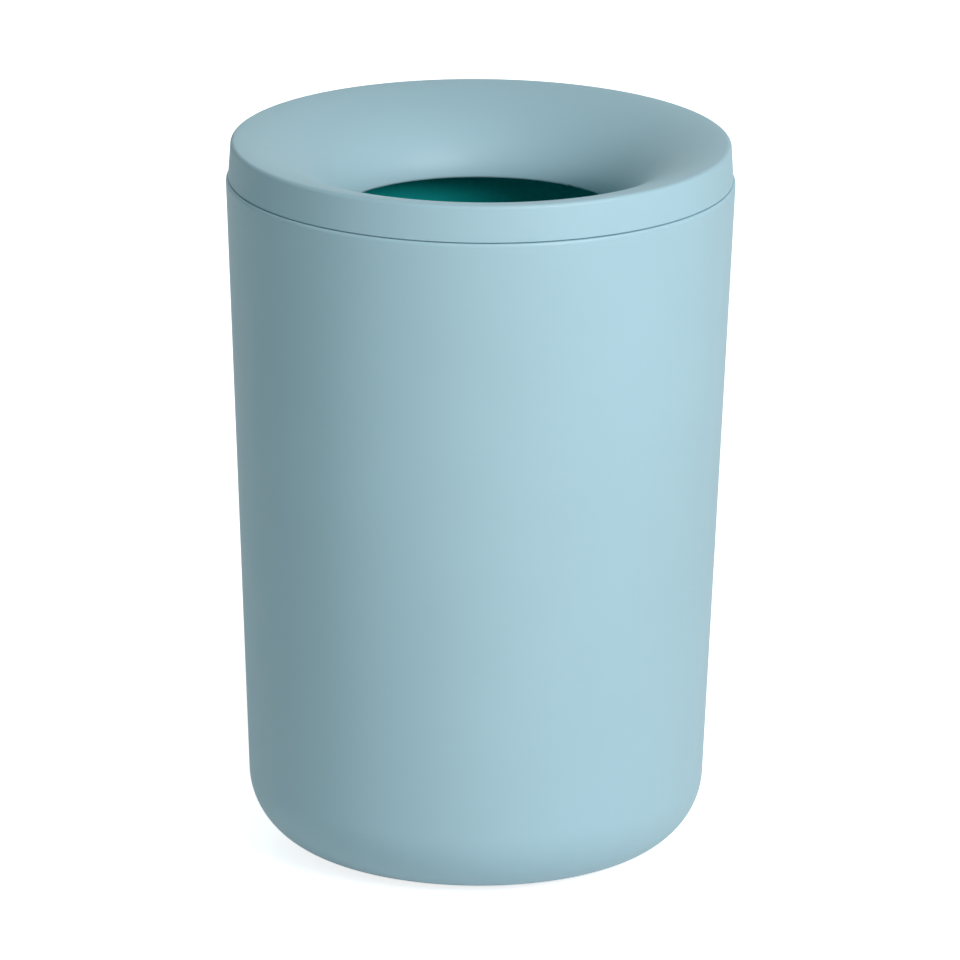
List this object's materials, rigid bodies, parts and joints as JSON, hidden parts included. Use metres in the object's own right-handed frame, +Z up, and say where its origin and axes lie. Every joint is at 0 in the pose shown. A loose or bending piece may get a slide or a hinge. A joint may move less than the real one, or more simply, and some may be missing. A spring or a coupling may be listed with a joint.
{
  "type": "bathroom bin",
  "caption": "Tall tapered plastic bathroom bin with a rounded base, a lift-off funnel lid and a lift-out inner bucket with a bail.",
  "frame": {"origin": "on the floor, on the bin's axis, in the middle of the four rubber pads", "axes": "+Z up along the axis of all the round pieces, +X through the right ear of the bucket, -Y towards the front, where the bail lies folded"},
  "size_m": [0.2, 0.2, 0.2868],
  "materials": {
    "body_plastic": "light grey-blue moulded plastic, satin matte with a very fine grain",
    "lid_plastic": "light grey-blue moulded plastic, satin matte, slightly smoother than the body",
    "bucket_plastic": "teal moulded plastic, satin",
    "grip_plastic": "teal moulded plastic, satin",
    "bail_wire": "bright zinc-plated steel wire",
    "pad_rubber": "matte grey rubber"
  },
  "bodies": {
    "body": {"outer_body": "body_plastic", "foot_pad_1": "pad_rubber", "foot_pad_2": "pad_rubber", "foot_pad_3": "pad_rubber", "foot_pad_4": "pad_rubber"},
    "bucket": {"inner_bucket": "bucket_plastic"},
    "lid": {"funnel_lid": "lid_plastic"},
    "bail": {"bail_wire": "bail_wire", "bail_grip": "grip_plastic"}
  },
  "joints": [
    {"name": "bucket_lift", "type": "slide", "parent": "body", "child": "bucket", "axis": [0, 0, 1], "range_m": [0, 0.285]},
    {"name": "lid_lift", "type": "slide", "parent": "bucket", "child": "lid", "axis": [0, 0, 1], "range_m": [0, 0.36]},
    {"name": "bail_swing", "type": "hinge", "parent": "bucket", "child": "bail", "pos_m": [0, 0, 0.2613], "axis": [-1, 0, 0], "range_deg": [0, 180]}
  ],
  "couplings": [
    {"joint": "bail_swing", "follows": "lid_lift", "rad_per_m": 8.72}
  ]
}
